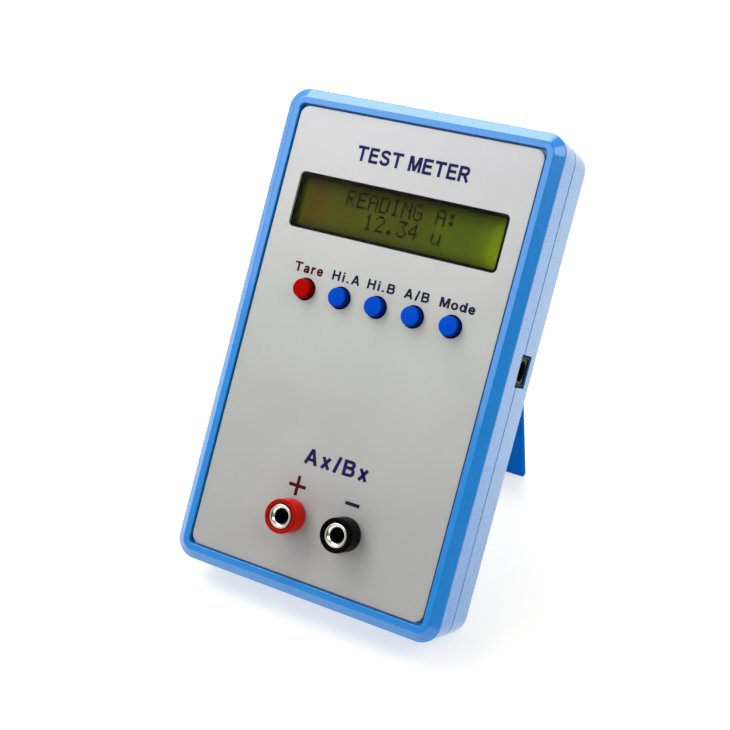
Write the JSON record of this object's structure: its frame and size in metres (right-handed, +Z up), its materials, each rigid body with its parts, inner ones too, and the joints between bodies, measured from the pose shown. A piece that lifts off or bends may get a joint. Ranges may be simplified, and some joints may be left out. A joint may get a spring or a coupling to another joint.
{
  "type": "lcr meter",
  "caption": "Hand-held electronic component meter with a blue case, silver panel, character display, round push buttons and plug sockets, leaning back on its fold-out stand.",
  "frame": {"origin": "on the floor, at the middle of the narrow flat along the case's lower back edge, on which the leaning meter rests", "axes": "+Z up, +X to the right of someone who reads the display, -Y towards that person; the stand's foot is at +Y"},
  "size_m": [0.0879, 0.1007, 0.1316],
  "materials": {
    "case_blue": "satin moulded",
    "back_blue": "satin moulded",
    "stand_blue": "satin moulded",
    "silver_panel": "fine satin silver print",
    "clear_window": "clear, polished",
    "black_plastic": "satin",
    "black_frame": "satin black",
    "display_green": "polished",
    "light_guide": "milky",
    "board_green": "varnished",
    "red_plastic": "moulded",
    "button_blue": "moulded",
    "nickel": "bright nickel plate",
    "steel": "plated",
    "copper_wire": "varnished copper wire",
    "cell_wrap": "printed sleeve"
  },
  "bodies": {
    "root": {"battery_1": "cell_wrap", "battery_2": "cell_wrap", "battery_3": "cell_wrap", "battery_4": "cell_wrap", "battery_contact_1": "nickel", "battery_contact_2": "nickel", "battery_contact_3": "nickel", "battery_contact_4": "nickel", "battery_contact_5": "nickel", "battery_spring_1": "nickel", "battery_spring_2": "nickel", "battery_spring_3": "nickel", "battery_spring_4": "nickel", "black_socket_body": "black_plastic", "black_socket_contact": "nickel", "black_socket_nut": "steel", "board_screw_1": "steel", "board_screw_2": "steel", "board_screw_3": "steel", "board_screw_4": "steel", "case_screw_1": "steel", "case_screw_2": "steel", "case_screw_3": "steel", "case_screw_4": "steel", "controller_chip": "black_plastic", "crystal_can": "nickel", "display_screw_1": "steel", "display_screw_2": "steel", "display_window": "clear_window", "front_panel": "silver_panel", "front_shell": "case_blue", "key_switch_1": "black_plastic", "key_switch_2": "black_plastic", "key_switch_3": "black_plastic", "key_switch_4": "black_plastic", "key_switch_5": "black_plastic", "lcd_board": "board_green", "lcd_frame": "black_frame", "lcd_glass": "display_green", "lcd_light_guide": "light_guide", "lcd_link": "black_plastic", "main_board": "board_green", "oscillator_chip": "black_plastic", "power_inlet": "black_plastic", "power_switch": "black_plastic", "range_relay": "black_plastic", "rear_shell": "back_blue", "red_socket_body": "red_plastic", "red_socket_contact": "nickel", "red_socket_nut": "steel", "reference_coil": "copper_wire"},
    "zero_button": {"zero_button": "red_plastic"},
    "button_2": {"button_2": "button_blue"},
    "button_3": {"button_3": "button_blue"},
    "button_4": {"button_4": "button_blue"},
    "button_5": {"button_5": "button_blue"},
    "power_slider": {"power_slider": "black_plastic"},
    "stand": {"stand": "stand_blue"},
    "battery_door": {"battery_door": "back_blue"}
  },
  "joints": [
    {"name": "zero_button_press", "type": "slide", "parent": "root", "child": "zero_button", "axis": [0, 0.8443, -0.5358], "range_m": [0, 0.0005], "stiffness_N_per_m": 400},
    {"name": "button_2_press", "type": "slide", "parent": "root", "child": "button_2", "axis": [0, 0.8443, -0.5358], "range_m": [0, 0.0005], "stiffness_N_per_m": 400},
    {"name": "button_3_press", "type": "slide", "parent": "root", "child": "button_3", "axis": [0, 0.8443, -0.5358], "range_m": [0, 0.0005], "stiffness_N_per_m": 400},
    {"name": "button_4_press", "type": "slide", "parent": "root", "child": "button_4", "axis": [0, 0.8443, -0.5358], "range_m": [0, 0.0005], "stiffness_N_per_m": 400},
    {"name": "button_5_press", "type": "slide", "parent": "root", "child": "button_5", "axis": [0, 0.8443, -0.5358], "range_m": [0, 0.0005], "stiffness_N_per_m": 400},
    {"name": "power_slide", "type": "slide", "parent": "root", "child": "power_slider", "axis": [0, 0.5358, 0.8443], "range_m": [-0.0035, 0]},
    {"name": "stand_hinge", "type": "hinge", "parent": "root", "child": "stand", "pos_m": [0, 0.04593, 0.07356], "axis": [1, 0, 0], "range_deg": [-56.7, 0]},
    {"name": "battery_door_hinge", "type": "hinge", "parent": "root", "child": "battery_door", "pos_m": [0, 0.0162, 0.02373], "axis": [-1, 0, 0], "range_deg": [0, 60]}
  ]
}
